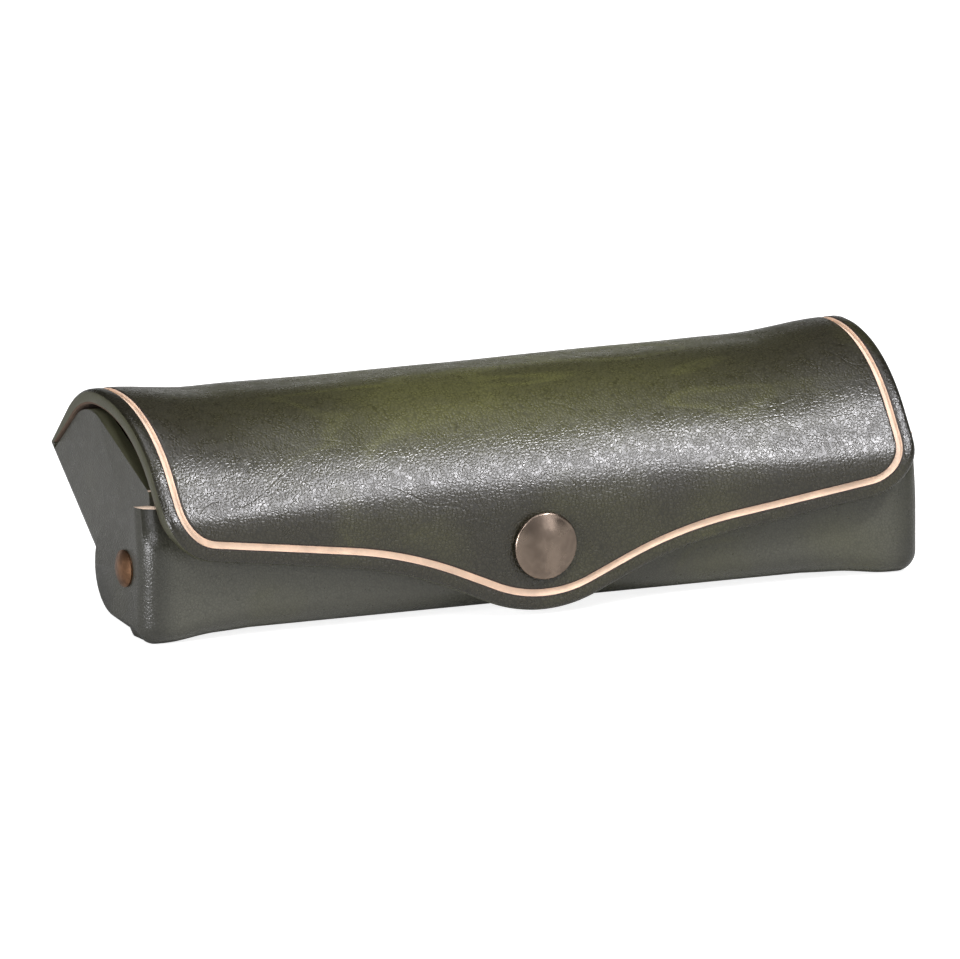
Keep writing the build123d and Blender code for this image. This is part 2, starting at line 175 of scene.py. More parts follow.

# Where the dye lies, and where shade is painted at the ends: distances from the case's middle, and heights.
PATCH_OUTER, PATCH_INNER = 82 * MM, 25 * MM
PATCH_FOOT, PATCH_TOP = 28 * MM, 39 * MM
# painted shade: between these distances the ends, with the gussets and ears, are darkened, standing in for
# the shade they lie in
PAINTED_SHADE_OUTER, PAINTED_SHADE_INNER = 82 * MM, 76 * MM
SHADED_END_LIGHTNESS = 0.45  # share of the dye's lightness that is left at the very ends, under the painted shade
DEEP_TOP, DEEP_FOOT = 26 * MM, 17 * MM  # the grain doubles in depth between these heights, on the way down
SLANT, STRETCH = (0, 0.4, 0.7), (0.5, 1.3, 1.0)  # stains lie slanted, and drawn out along the case
LEATHER_IOR = 1.5

# Features of the patterns, in millimetres. The part of each noise that shows is picked.
CLOUD, STRAY, VEIN, CREASE = 34, 26, 19, 42
SPUN_MARK = 0.4
GRAIN_DEPTH = 0.1 * MM
METAL_DEPTH = 0.03 * MM


def plug(tree, target, **inputs):
    """Fills a node's inputs, each named, or numbered after an underscore. Each takes a value, another node's
    socket, or another node, whose first output is then linked."""
    for key, value in inputs.items():
        socket = target.inputs[int(key[1:])] if key[0] == "_" else target.inputs[key.replace("_", " ")]
        if isinstance(value, bpy.types.Node):
            value = value.outputs[0]
        if isinstance(value, bpy.types.NodeSocket):
            tree.links.new(value, socket)
        else:
            socket.default_value = value


def node(tree, kind, settings=None, **inputs):
    """Adds a node with its settings and its inputs."""
    made = tree.nodes.new(kind)
    for key, value in (settings or {}).items():
        setattr(made, key, value)
    plug(tree, made, **inputs)
    return made


def material(name):
    """A new material with its shader; returns the material, its tree and the shader."""
    made = bpy.data.materials.new(name)
    made.use_nodes = True
    return made, made.node_tree, made.node_tree.nodes["Principled BSDF"]


def rgba(value, share=1.0):
    """A colour with its alpha, darkened to a share of its lightness."""
    return (*(v * share for v in value), 1.0)


def per_metre(millimetres):
    """Scale of a noise or cell pattern whose features are that large."""
    return 1.0 / (millimetres * MM)


def dyed_leather(name, dye, relief, shine, pebble, crease_dye_and_shade):
    """Aniline dyed calf, waxed and glazed. It gives the eye a nearly black ground, blackest at the ends,
    where shade is painted in, a cloudy green where the dye is thin on the lid's top, soft light veins, and
    small round pebbles whose flanks break the shine into sparks. pebble is their size in millimetres, and
    crease_dye_and_shade is how much the creases between them are darkened, partly by gathered dye and partly
    as painted shade, with the pebbles' tops painted a little lighter."""
    made, tree, shader = material(name)
    place = node(tree, "ShaderNodeTexCoord").outputs["Object"]
    apart = node(tree, "ShaderNodeSeparateXYZ", Vector=place).outputs
    aside = node(tree, MATHS, ABSOLUTE, _0=apart["X"])
    slanted = node(tree, "ShaderNodeMapping", Vector=place, Rotation=SLANT, Scale=STRETCH)

    # The green patch along the lid's top, in clouds.
    along = node(tree, RANGE, EASED, Value=aside, From_Min=PATCH_OUTER, From_Max=PATCH_INNER)
    up = node(tree, RANGE, EASED, Value=apart["Z"], From_Min=PATCH_FOOT, From_Max=PATCH_TOP)
    clouds = node(
        tree, NOISE, Vector=slanted, Scale=per_metre(CLOUD), Detail=1.5, Roughness=0.5, Distortion=0.2
    )
    cloudy = node(tree, RANGE, EASED, Value=clouds, From_Min=0.25, From_Max=0.6, To_Min=0.4, To_Max=1.0)
    patch = node(tree, MATHS, MULTIPLY, _0=along, _1=up)
    green = node(tree, MATHS, MULTIPLY, _0=patch, _1=cloudy)

    # Fainter stray patches elsewhere, and light veins through both, along one contour of a broad noise.
    strays = node(
        tree, NOISE, Vector=place, Scale=per_metre(STRAY), Detail=1.5, Roughness=0.5, Distortion=0.2
    )
    stray = node(tree, RANGE, EASED, Value=strays, From_Min=0.48, From_Max=0.75, To_Max=0.35)
    hills = node(
        tree, NOISE, Vector=slanted, Scale=per_metre(VEIN), Detail=1.0, Roughness=0.5, Distortion=0.3
    )
    contour = node(tree, MATHS, SUBTRACT, _0=hills, _1=0.5)
    from_vein = node(tree, MATHS, ABSOLUTE, _0=contour)
    veins = node(tree, RANGE, EASED, Value=from_vein, From_Min=0.035, From_Max=0.0, To_Min=0.86, To_Max=1.45)
    patches = node(tree, MATHS, MAXIMUM, _0=green, _1=stray)
    thin = node(tree, MATHS, MULTIPLY, _0=patches, _1=veins)

    # The ground, with painted shade darkening the ends, and the moss colour where the dye is thin.
    ends = node(tree, RANGE, EASED, Value=aside, From_Min=PAINTED_SHADE_OUTER, From_Max=PAINTED_SHADE_INNER)
    ground = node(tree, MIX, COLOURS, _0=ends, _6=rgba(dye, SHADED_END_LIGHTNESS), _7=rgba(dye)).outputs[MIXED]
    dyed = node(tree, MIX, COLOURS, _0=thin, _6=ground, _7=rgba(colours().moss)).outputs[MIXED]

    # Pebbles, the broader folds under them, and a few long creases.
    cells = {"feature": "DISTANCE_TO_EDGE"}
    plates = node(tree, "ShaderNodeTexVoronoi", cells, Vector=place, Scale=per_metre(pebble))
    pebbles = node(tree, RANGE, EASED, Value=plates, From_Max=0.3)
    folds = node(tree, NOISE, Vector=place, Scale=per_metre(pebble * 3.5), Detail=2.0, Roughness=0.55)
    bends = node(
        tree, NOISE, Vector=place, Scale=per_metre(CREASE), Detail=2.0, Roughness=0.5, Distortion=0.3
    )
    bent = node(tree, MATHS, SUBTRACT, _0=bends, _1=0.47)
    from_crease = node(tree, MATHS, ABSOLUTE, _0=bent)
    crease = node(tree, RANGE, EASED, Value=from_crease, From_Min=0.006, From_Max=0.0, To_Max=-0.9)
    skin = node(tree, MATHS, MULTIPLY_ADD, _0=folds, _1=0.7, _2=pebbles)
    height = node(tree, MATHS, ADD, _0=skin, _1=crease)
    strength = node(
        tree, RANGE, EASED,
        Value=apart["Z"], From_Min=DEEP_TOP, From_Max=DEEP_FOOT, To_Min=relief, To_Max=relief * 2.0,
    )
    bump = node(tree, "ShaderNodeBump", Strength=strength, Distance=GRAIN_DEPTH, Height=height)

    # Wax on the folds changes the gloss. The creases between the pebbles are darkened, partly by gathered
    # dye and partly as painted shade, and the pebbles' tops are painted a little lighter as painted
    # highlight.
    gloss = node(
        tree, RANGE, EASED,
        Value=folds, From_Min=0.3, From_Max=0.7, To_Min=shine - 0.03, To_Max=shine + 0.06,
    )
    gathered = node(
        tree, RANGE, EASED,
        Value=plates, From_Max=0.16, To_Min=1 - crease_dye_and_shade, To_Max=1 + crease_dye_and_shade * 0.2,
    )
    # painted shade in the creases and painted light on the pebbles' tops, scaled into the dye colour
    worn = node(tree, "ShaderNodeVectorMath", SCALE, Vector=dyed, Scale=gathered)
    plug(tree, shader, Base_Color=worn, Roughness=gloss, Normal=bump, IOR=LEATHER_IOR)
    return made


def raw_leather(name, tint, grain, rough, fibre):
    """Vegetable-tanned leather without its dyed grain: a cut line, a rubbed edge or the flesh side. It gives
    the eye short loose fibres, fibre millimetres long, and blotches nine times as large."""
    made, tree, shader = material(name)
    place = node(tree, "ShaderNodeTexCoord").outputs["Object"]
    nap = node(tree, NOISE, Vector=place, Scale=per_metre(fibre), Detail=4.0, Roughness=0.7)
    stain = node(tree, NOISE, Vector=place, Scale=per_metre(fibre * 9), Detail=2.0)
    both = node(tree, MATHS, MULTIPLY_ADD, _0=nap, _1=0.5, _2=stain)
    spread = node(tree, RANGE, Value=both, From_Min=0.45, From_Max=1.0)
    base = node(tree, MIX, COLOURS, _0=spread, _6=rgba(tint, 0.72), _7=rgba(tint)).outputs[MIXED]
    bump = node(tree, "ShaderNodeBump", Strength=grain, Distance=GRAIN_DEPTH, Height=nap)
    plug(tree, shader, Base_Color=base, Normal=bump, Roughness=rough)
    return made


def aged_metal(name, tint, rough, mottle):
    """Spun or drawn metal that has tarnished. It gives the eye cloudy spots of darker skin, mottle
    millimetres large, over a soft shine."""
    made, tree, shader = material(name)
    place = node(tree, "ShaderNodeTexCoord").outputs["Object"]
    cloud = node(
        tree, NOISE, Vector=place, Scale=per_metre(mottle), Detail=3.0, Roughness=0.55, Distortion=0.3
    )
    spread = node(tree, RANGE, EASED, Value=cloud, From_Min=0.32, From_Max=0.66)
    base = node(tree, MIX, COLOURS, _0=spread, _6=rgba(tint, 0.6), _7=rgba(tint)).outputs[MIXED]
    marks = node(tree, NOISE, Vector=place, Scale=per_metre(SPUN_MARK), Detail=3.0, Roughness=0.55)
    bump = node(tree, "ShaderNodeBump", Strength=0.15, Distance=METAL_DEPTH, Height=marks)
    gloss = node(
        tree, RANGE, EASED,
        Value=cloud, From_Min=0.3, From_Max=0.7, To_Min=rough + 0.1, To_Max=rough - 0.06,
    )
    plug(tree, shader, Base_Color=base, Roughness=gloss, Normal=bump, Metallic=1.0)
    return made


GRAIN, SMOOTH, DYE_LINE = "grained calf leather", "smooth calf leather", "dye line"
NATURAL, EDGE, FLESH = "natural vegetable-tanned leather", "rubbed leather edge", "leather flesh side"
BRASS, BRONZE, STEEL = "aged brass", "aged bronze", "spring steel wire"

FINISHES = {
    # The lid is dark, pebbled and glossy. The body, pulled tight over its mould, is flatter, and paler,
    # partly as a paler leather and partly as painted light from the floor on its front wall.
    GRAIN: (dyed_leather, "dye", {"relief": 0.28, "shine": 0.28, "pebble": 0.75, "crease_dye_and_shade": 0.4}),
    SMOOTH: (dyed_leather, "body_dye", {"relief": 0.16, "shine": 0.3, "pebble": 0.65, "crease_dye_and_shade": 0.25}),
    # The cut line: pale, dry fibres between two thin dark borders.
    DYE_LINE: (raw_leather, "dye_line", {"grain": 0.2, "rough": 0.6, "fibre": 0.4}),
    NATURAL: (raw_leather, "natural", {"grain": 0.3, "rough": 0.7, "fibre": 0.5}),
    # Cut edges, dyed and rubbed to a low shine, and the matt brown nap inside.
    EDGE: (raw_leather, "edge", {"grain": 0.7, "rough": 0.42, "fibre": 0.5}),
    FLESH: (raw_leather, "flesh", {"grain": 0.6, "rough": 0.85, "fibre": 0.35}),
    # The cap is greyish with broad clouds, the rivets are redder and finely spotted, and the wire is bright.
    BRASS: (aged_metal, "brass", {"rough": 0.27, "mottle": 6.0}),
    BRONZE: (aged_metal, "bronze", {"rough": 0.36, "mottle": 1.6}),
    STEEL: (aged_metal, "steel", {"rough": 0.3, "mottle": 3.0}),
}


def finish(name):
    """The named material, made the first time that it's asked for."""
    maker, tint, values = FINISHES[name]
    return bpy.data.materials.get(name) or maker(name, getattr(colours(), tint), **values)


# The bent sheet: a section is a path of straight runs joined by round bends.

SAG_OUTER, SAG_INNER = 4 * MM, 24 * MM  # the crown's sag sets in between these distances from the lid's end
EASE_INNER, EASE_OUTER = 15 * MM, 62 * MM  # the knee tightens between these distances from the middle
OUTLINE_TOP = 60 * MM  # the flap's sides are drawn from this height, over the crown
OUTLINE_USED = 40 * MM  # and used below this one, from which the sheet runs straight on
OUTLINE_BEND, OUTLINE_RUN = 0.9 * MM, 12 * MM  # steps along the outline's bends and runs
SPARE = 14 * MM  # how far the sheet reaches past the hinge until it's trimmed
BELOW_FOOT, HALVINGS = 5 * MM, 30  # where the search for a height starts, and its steps


def heading(angle):
    return Vector((cos(angle), sin(angle)))


def meet(p, p_angle, q, q_angle):
    """Where the line through p at p_angle meets the line through q at q_angle."""
    p, q, u, v = Vector(p), Vector(q), heading(p_angle), heading(q_angle)
    return p + u * (((q.x - p.x) * v.y - (q.y - p.y) * v.x) / (u.x * v.y - u.y * v.x))


def rounded(corners, radii):
    """The runs and bends of a path as (start length, length, point, angle, bend), where bend is the turn per
    metre, and the path's whole length."""
    corners = [Vector(c) for c in corners]
    angles = [atan2((b - a).y, (b - a).x) for a, b in zip(corners, corners[1:])]
    spans, length, here = [], 0.0, corners[0]
    for corner, radius, before, after in zip(corners[1:], radii, angles, angles[1:]):
        swing = (after - before + pi) % (2 * pi) - pi
        cut = radius * tan(abs(swing) / 2)
        run = (corner - here).length - cut
        spans.append((length, run, here, before, 0.0))
        length += run
        arc = radius * abs(swing)
        spans.append((length, arc, here + heading(before) * run, before, swing / arc))
        length += arc
        here = corner + heading(after) * cut
    run = (corners[-1] - here).length
    spans.append((length, run, here, angles[-1], 0.0))
    return spans, length + run


def on_path(spans, length):
    """The point and the heading at a length along a path; past its ends the path runs straight on."""
    start, _, point, angle, bend = next((s for s in reversed(spans) if length >= s[0]), spans[0])
    step = length - start
    if bend == 0.0:
        return point + heading(angle) * step, angle
    ahead = angle + bend * step
    return point + (heading(ahead - pi / 2) - heading(angle - pi / 2)) / bend, ahead


@lru_cache(maxsize=None)
def lid_section(sag=0.0, ease=0.0):
    """Path of the lid's outer face in (y from the front wall, z), from the flap's foot up and back to the
    hinge. sag lowers the crown; ease, from 0 to 1, widens the knee from its radius at the lid's ends to that
    of its middle."""
    s = sizes()
    rear = pi - s.rear_angle
    end = HINGE + heading(rear - pi / 2) * s.skived
    crown = (0, s.crown - sag)
    brow = (s.brow_y, s.brow_z)
    knee = meet(brow, s.brow_angle, (s.flap_y, 0), pi / 2)
    front_top = meet(brow, s.brow_angle, crown, 0)
    rear_top = meet(end, rear, crown, 0)
    knee_radius = s.knee_radius + (s.middle_knee_radius - s.knee_radius) * ease
    radii = [knee_radius, s.crown_front_radius, s.crown_rear_radius]
    return rounded([(s.flap_y, 0), knee, front_top, rear_top, end], radii)


def smooth(low, high, value):
    """How far a value is from low to high, eased, from 0 to 1."""
    t = min(max((value - low) / (high - low), 0.0), 1.0)
    return t * t * (3 - 2 * t)


def lid_point(x, length, depth):
    """Where a point of the flat lid goes when the sheet is bent. depth is under the outer face."""
    end_spans, end_total = lid_section()
    sag = sizes().crown_sag * (1 - smooth(HALF_LID - SAG_INNER, HALF_LID - SAG_OUTER, abs(x)))
    ease = 1 - smooth(EASE_INNER, EASE_OUTER, abs(x))
    spans, total = lid_section(round(sag, 5), round(ease, 3))
    bend = end_spans[1][0]
    if length > bend:
        length = bend + (length - bend) * (total - bend) / (end_total - bend)
    point, angle = on_path(spans, length)
    point = point + heading(angle - pi / 2) * depth
    return Vector((x, point.x + FRONT_Y, point.y))


def flat_length(height):
    """Length along the lid's outer face at which it reaches a height, below the crown, found by halving."""
    spans, _ = lid_section()
    low, high = -BELOW_FOOT, spans[3][0]
    for _ in range(HALVINGS):
        middle = (low + high) / 2
        if on_path(spans, middle)[0].y < height:
            low = middle
        else:
            high = middle
    return (low + high) / 2


def flap_edge():
    """The lid's outline on the flat sheet, from the right hinge corner down, along the edge and up again."""
    s = sizes()
    corner = Vector((HALF_LID, s.side_edge_z))
    shoulder = meet(corner, s.lower_edge_slope, (s.tongue_shoulder_x, 0), pi / 2)
    tip = meet(shoulder, s.tongue_slope, (0, 0), pi / 2)
    right = [Vector((HALF_LID, OUTLINE_TOP)), corner, shoulder]
    left = [(-p.x, p.y) for p in reversed(right)]
    bends = [s.side_corner_radius, s.tongue_shoulder_radius]
    spans, _ = rounded([*right, tip, *left], [*bends, s.tongue_tip_radius, *reversed(bends)])
    outline = []
    for start, length, _, _, bend in spans:
        steps = max(1, round(length / (OUTLINE_BEND if bend else OUTLINE_RUN)))
        outline += [on_path(spans, start + length * k / steps)[0] for k in range(steps)]
    top = lid_section()[1] + SPARE
    points = [(p.x, flat_length(p.y)) for p in outline if p.y < OUTLINE_USED]
    return [(HALF_LID, top)] + points + [(-HALF_LID, top)]


# Mesh helpers.


def only(obj):
    """Makes obj the only selected object."""
    bpy.ops.object.select_all(action="DESELECT")
    bpy.context.view_layer.objects.active = obj
    obj.select_set(True)


def new_object(name, mesh):
    """Adds an object and makes it the only one selected."""
    made = bpy.data.objects.new(name, mesh)
    bpy.context.collection.objects.link(made)
    only(made)
    return made


def edit(obj):
    """Opens obj for editing with all of it selected."""
    only(obj)
    bpy.ops.object.mode_set(mode="EDIT")
    bpy.ops.mesh.select_mode(type="FACE")
    bpy.ops.mesh.select_all(action="SELECT")


def pick_faces(obj, test):
    """In edit mode, selects just the faces that pass the test."""
    bpy.ops.mesh.select_all(action="DESELECT")
    mesh = bmesh.from_edit_mesh(obj.data)
    for face in mesh.faces:
        face.select_set(test(face))
    bmesh.update_edit_mesh(obj.data)


def thicken(height):
    """In edit mode, extrudes the selected sheet into a closed slab whose faces point outwards."""
    bpy.ops.mesh.extrude_region_move(TRANSFORM_OT_translate={"value": (0, 0, height)})
    bpy.ops.mesh.select_all(action="SELECT")
    bpy.ops.mesh.normals_make_consistent(inside=False)


def ring(obj, index, thickness, rise=0.0):
    """In edit mode, insets the selected face; the ring round it gets the material with that index."""
    mesh = bmesh.from_edit_mesh(obj.data)
    for face in mesh.faces:
        if face.select:
            face.material_index = index
    bmesh.update_edit_mesh(obj.data)
    bpy.ops.mesh.inset(thickness=thickness, depth=rise)


def cut_lines(normal, places):
    """In edit mode, cuts the whole mesh by parallel planes."""
    for place in places:
        bpy.ops.mesh.select_all(action="SELECT")
        bpy.ops.mesh.bisect(plane_co=Vector(normal) * place, plane_no=normal, threshold=TOUCHING)


def smooth_shading(obj, angle):
    """Shades obj smooth, with sharp edges where faces meet at more than an angle in degrees."""
    only(obj)
    bpy.ops.object.shade_smooth_by_angle(angle=radians(angle))


def use_materials(mesh, *names):
    mesh.materials.clear()
    for name in names:
        mesh.materials.append(finish(name))


DYED, BARE, SIDE, BACK, BORDER = range(5)  # places of a leather piece's finishes in its list of materials


# The lid.

EDGE_ROLL, INNER_ROLL = 1.3 * MM, 0.5 * MM  # radii to which the cut edge is rolled, outside and inside
ROLLED = (SIDE, SIDE, DYED, DYED, DYED)  # finish of each step up the outer roll
LIP, LIP_DROP = 0.28 * MM, 0.12 * MM  # width and fall of the cut line's dark borders
WALL = 0.08 * MM  # lean of the cut line's walls
TRIM_OUTER, TRIM_INNER = 0.72 * MM, 1.75 * MM  # how far the sheet's two faces end before the hinge
LID_COLUMNS, LID_MARGIN = 56, 1 * MM
BEND_ROW, RUN_ROW = 1.3 * MM, 2.6 * MM  # spacing of the rows across bends and runs
PRESS_DEPTH = 0.35 * MM  # how far the snap's press has sunk the leather round the cap
PRESS_INNER, PRESS_OUTER = 6.4 * MM, 10.5 * MM
BROAD_RISE, BROAD_X, BROAD_Y, BROAD_SEED = 0.26 * MM, 26 * MM, 17 * MM, 0.3
CLOSE_RISE, CLOSE_X, CLOSE_Y, CLOSE_SEED = 0.07 * MM, 9 * MM, 7 * MM, 4.1
EVEN_END = 14 * MM  # the unevenness fades out over this length at each end


def roll_steps(radius, steps):
    """Inset and rise of each step up a quarter round."""
    turns = [pi / 2 * k / steps for k in range(steps + 1)]
    return [(radius * (cos(a) - cos(b)), radius * (sin(b) - sin(a))) for a, b in zip(turns, turns[1:])]


def lid_blank():
    """The lid's sheet, flat: X across, Y along the sheet from the flap's foot, Z above the outer face."""
    s = sizes()
    outline = flap_edge()
    mesh = bpy.data.meshes.new("lid_leather")
    mesh.from_pydata([(x, y, INNER_ROLL - s.leather) for x, y in outline], [], [list(range(len(outline)))])
    use_materials(mesh, GRAIN, NATURAL, EDGE, FLESH, DYE_LINE)
    lid = new_object("lid_leather", mesh)
    edit(lid)
    thicken(s.leather - INNER_ROLL - EDGE_ROLL)
    for face in bmesh.from_edit_mesh(mesh).faces:
        face.material_index = SIDE
    pick_faces(lid, lambda face: face.normal.z > FACING)
    for index, (inset, rise) in zip(ROLLED, roll_steps(EDGE_ROLL, len(ROLLED))):
        ring(lid, index, inset, rise)
    ring(lid, DYED, s.groove_inset - s.groove_width / 2 - LIP - EDGE_ROLL)
    ring(lid, BORDER, LIP, -LIP_DROP)
    ring(lid, BARE, WALL, LIP_DROP - s.groove_depth)
    ring(lid, BARE, s.groove_width - 2 * WALL)
    ring(lid, BARE, WALL, s.groove_depth - LIP_DROP)
    ring(lid, BORDER, LIP, LIP_DROP)
    ring(lid, DYED, LIP)
    pick_faces(lid, lambda face: face.normal.z < -FACING)
    for inset, rise in roll_steps(INNER_ROLL, 2):
        ring(lid, BACK, inset, rise)
    return lid


def trim_at_hinge():
    """In edit mode, trims the flat sheet where the bent strip of the hinge begins, on a slant that leaves a
    small hollow round the bend."""
    total = lid_section()[1]
    outer, inner = Vector((total - TRIM_OUTER, 0)), Vector((total - TRIM_INNER, -sizes().skived))
    run = outer - inner
    away = Vector((0, run.y, -run.x)).normalized()
    bpy.ops.mesh.select_all(action="SELECT")
    bpy.ops.mesh.bisect(
        plane_co=(0, outer.x, 0), plane_no=away, clear_outer=True, use_fill=True, threshold=TOUCHING
    )


def row_places(spans):
    """Lengths at which to cut the sheet so that each bend gets close rows and each run wider ones."""
    places = []
    for start, length, _, _, bend in spans:
        steps = max(1, round(length / (BEND_ROW if bend else RUN_ROW)))
        places += [start + length * k / steps for k in range(steps)]
    return places[1:]


def handmade(x, length):
    """Gentle unevenness of hand-moulded leather, which makes the shine waver."""
    away = smooth(0, EVEN_END, HALF_LID - abs(x))
    broad = noise.noise(Vector((x / BROAD_X, length / BROAD_Y, BROAD_SEED)))
    close = noise.noise(Vector((x / CLOSE_X, length / CLOSE_Y, CLOSE_SEED)))
    return (BROAD_RISE * broad + CLOSE_RISE * close) * away


def lid_bent(co):
    """Where a point of the flat blank goes on the finished lid, which is pared thin towards the hinge."""
    s = sizes()
    spans, total = lid_section()
    last = spans[-1][0]
    pared = min(max((co.y - last) / (total - last), 0), 1)
    under = -co.z * (1 - (1 - s.skived / s.leather) * pared) if co.z < -s.leather / 2 else -co.z
    from_cap = hypot(co.x, co.y - s.snap_z)
    press = PRESS_DEPTH * (1 - smooth(PRESS_INNER, PRESS_OUTER, from_cap))
    return lid_point(co.x, co.y, under + press - handmade(co.x, co.y) * (1 - pared))


def make_lid():
    """The lid's leather: a flat blank with its cut line, bent to shape."""
    lid_section.cache_clear()
    lid = lid_blank()
    half = HALF_LID - LID_MARGIN
    cut_lines((1, 0, 0), [-half + 2 * half * k / LID_COLUMNS for k in range(LID_COLUMNS + 1)])
    cut_lines((0, 1, 0), row_places(lid_section()[0]))
    trim_at_hinge()
    bpy.ops.object.mode_set(mode="OBJECT")
    for vertex in lid.data.vertices:
        vertex.co = lid_bent(vertex.co)
    smooth_shading(lid, angle=32)
    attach(lid, "cover")
    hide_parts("lid")


# The body.

WORN_EDGE, WORN_STEPS, WORN_FROM = 0.4 * MM, 3, radians(35)  # edges sharper than the angle are worn round
FLAT_WITHIN = radians(0.2)
FRAME_GAP = 0.002 * MM  # the frame's triangles that are this near share a point
SLIVER = 0.005 * MM  # edges shorter than this are dropped after the bevel
BOTTOM_LIFT, RUN_OUTER, RUN_INNER = 1.8 * MM, 75.8 * MM, 59.8 * MM  # the frame's rise and where it lies
FOOT_HEIGHT, FOOT_INNER, FOOT_OUTER = 1.0 * MM, 67 * MM, 78.5 * MM  # the same of the real foot's curve
FOLD_TOP, HEEL_Y, HEEL_SHARE = 9 * MM, 19 * MM, 0.7  # what lies above or behind these stays as it is
FOOT_CUTS = 15
# Bounds that tell the finish of a face by its place: y from the front wall, the ends from the ears.
TOP_EDGE_Z, TOP_EDGE_Y = 27 * MM, 6 * MM  # the front wall's top edge lies above and in front of these
EAR_EDGE_Z, EAR_EDGE_Y, EAR_PLAY = 4 * MM, 5 * MM, 0.1 * MM  # an ear's edges lie above and behind these
INSIDE_Y, INSIDE_END, GUSSET_END = 2 * MM, 3.4 * MM, 2.4 * MM  # the inside lies behind and between these


def bottom_ease(co):
    """How far a point of the bottom moves. The frame's bottom rises from each foot in a straight run, and
    the real one rises in a short curve, to a little less height."""
    away = abs(co.x)
    straight = BOTTOM_LIFT * min(max((RUN_OUTER - away) / (RUN_OUTER - RUN_INNER), 0), 1)
    curved = FOOT_HEIGHT * (1 - smooth(FOOT_INNER, FOOT_OUTER, away))
    low = min(max(1 - co.z / FOLD_TOP, 0), 1)
    in_front = 1 - smooth(HEEL_SHARE * HEEL_Y, HEEL_Y, co.y - FRONT_Y)
    return (curved - straight) * (low * in_front)


def body_finish(place, normal):
    """The finish at a place on the body: natural top edge, rubbed ear edges, flesh side inside, or dyed."""
    leather = sizes().leather
    y, z = place.y - FRONT_Y, place.z
    from_end = BODY_HIGH.x - abs(place.x)
    if normal.z > 0.8 and z > TOP_EDGE_Z and y < TOP_EDGE_Y:
        return BARE
    on_ear = from_end < 2 * leather - EAR_PLAY and y > EAR_EDGE_Y and z > EAR_EDGE_Z
    if on_ear and abs(normal.x) < 0.5:
        return SIDE
    wall_or_bottom = normal.z > 0.3 or (normal.y > 0.5 and y < TOP_EDGE_Y)
    if from_end > leather + INSIDE_END and y > INSIDE_Y and wall_or_bottom:
        return BACK
    if from_end > leather + GUSSET_END and abs(normal.x) > 0.8:
        return BACK
    return DYED


def make_body():
    """The folded body, copied from the frame, with its foot eased and its cut edges worn round."""
    body = new_object("case_leather", frame["nodes"]["case_body"].data.copy())
    body.data.name = "case_leather"
    use_materials(body.data, SMOOTH, NATURAL, EDGE, FLESH)
    edit(body)
    bpy.ops.mesh.remove_doubles(threshold=FRAME_GAP)
    bpy.ops.mesh.dissolve_limited(angle_limit=FLAT_WITHIN)
    stops = [RUN_INNER + (FOOT_OUTER - RUN_INNER) * k / (FOOT_CUTS - 1) for k in range(FOOT_CUTS)]
    cut_lines((1, 0, 0), [-x for x in reversed(stops)] + stops)
    bpy.ops.object.mode_set(mode="OBJECT")
    for vertex in body.data.vertices:
        vertex.co.z += bottom_ease(vertex.co)
    worn = body.modifiers.new("worn edges", "BEVEL")
    worn.width, worn.segments = WORN_EDGE, WORN_STEPS
    worn.limit_method, worn.angle_limit = "ANGLE", WORN_FROM
    bpy.ops.object.modifier_apply(modifier=worn.name)
    edit(body)
    bpy.ops.mesh.dissolve_degenerate(threshold=SLIVER)
    bpy.ops.object.mode_set(mode="OBJECT")
    for face in body.data.polygons:
        face.material_index = body_finish(face.center, face.normal)
    smooth_shading(body, angle=50)
    flat = body.modifiers.new("flat faces", "WEIGHTED_NORMAL")
    flat.keep_sharp = True
    bpy.ops.object.modifier_apply(modifier=flat.name)
    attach(body, "case")
    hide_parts("case_body")


# The hinge strip.

STRIP_LEAD = 5 * MM  # straight length on each side of the bend
STRIP_THICKNESS = 0.9 * MM
STRIP_PROUD, STRIP_SINK = 0.05 * MM, 0.2 * MM  # it stands proud of its neighbours, and sinks at its edges
STRIP_THINNEST = 0.15  # share of its thickness that is left at those edges
STRIP_FIXED = 1.5 * MM  # a length past the bend on the lid's side; the point found there is not used


def make_strip():
    """The pared leather of the hinge bend: one skin from the back wall over the bend to the lid."""
    s = sizes()
    wall, rear = s.back_angle, pi - s.rear_angle
    swing = (rear - wall) % (2 * pi)
    bend = s.skived * swing
    total = 2 * STRIP_LEAD + bend
    bpy.ops.mesh.primitive_grid_add(x_subdivisions=54, y_subdivisions=40, size=1, location=(0, 0, 0))
    strip = bpy.context.object
    strip.name = strip.data.name = "hinge_leather"
    strip.scale = (2 * s.strip_half, total, 1)
    only(strip)
    bpy.ops.object.transform_apply(scale=True)
    edit(strip)
    thicken(-STRIP_THICKNESS)
    bpy.ops.object.mode_set(mode="OBJECT")
    use_materials(strip.data, GRAIN)
    wall_end = HINGE + heading(wall - pi / 2) * s.skived
    first = wall_end - heading(wall) * STRIP_LEAD
    lid_end = HINGE + heading(rear - pi / 2) * s.skived
    spans = [
        (0.0, STRIP_LEAD, first, wall, 0.0),
        (STRIP_LEAD, bend, first + heading(wall) * STRIP_LEAD, wall, swing / bend),
        (STRIP_LEAD + bend, STRIP_LEAD, lid_end, rear, 0.0),
    ]
    for vertex in strip.data.vertices:
        along = vertex.co.y + total / 2
        end = min(along, total - along) / STRIP_LEAD
        proud = STRIP_PROUD - STRIP_SINK * (1 - smooth(0, 0.8, end))
        depth = -vertex.co.z * (STRIP_THINNEST + (1 - STRIP_THINNEST) * smooth(0, 1, end)) - proud
        point, angle = on_path(spans, along)
        point = point + heading(angle + pi / 2) * depth
        vertex.co = (vertex.co.x, point.x + FRONT_Y, point.y)
    smooth_shading(strip, angle=40)
    end = lid_end + heading(rear) * STRIP_FIXED
    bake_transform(strip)


# Metal pieces.

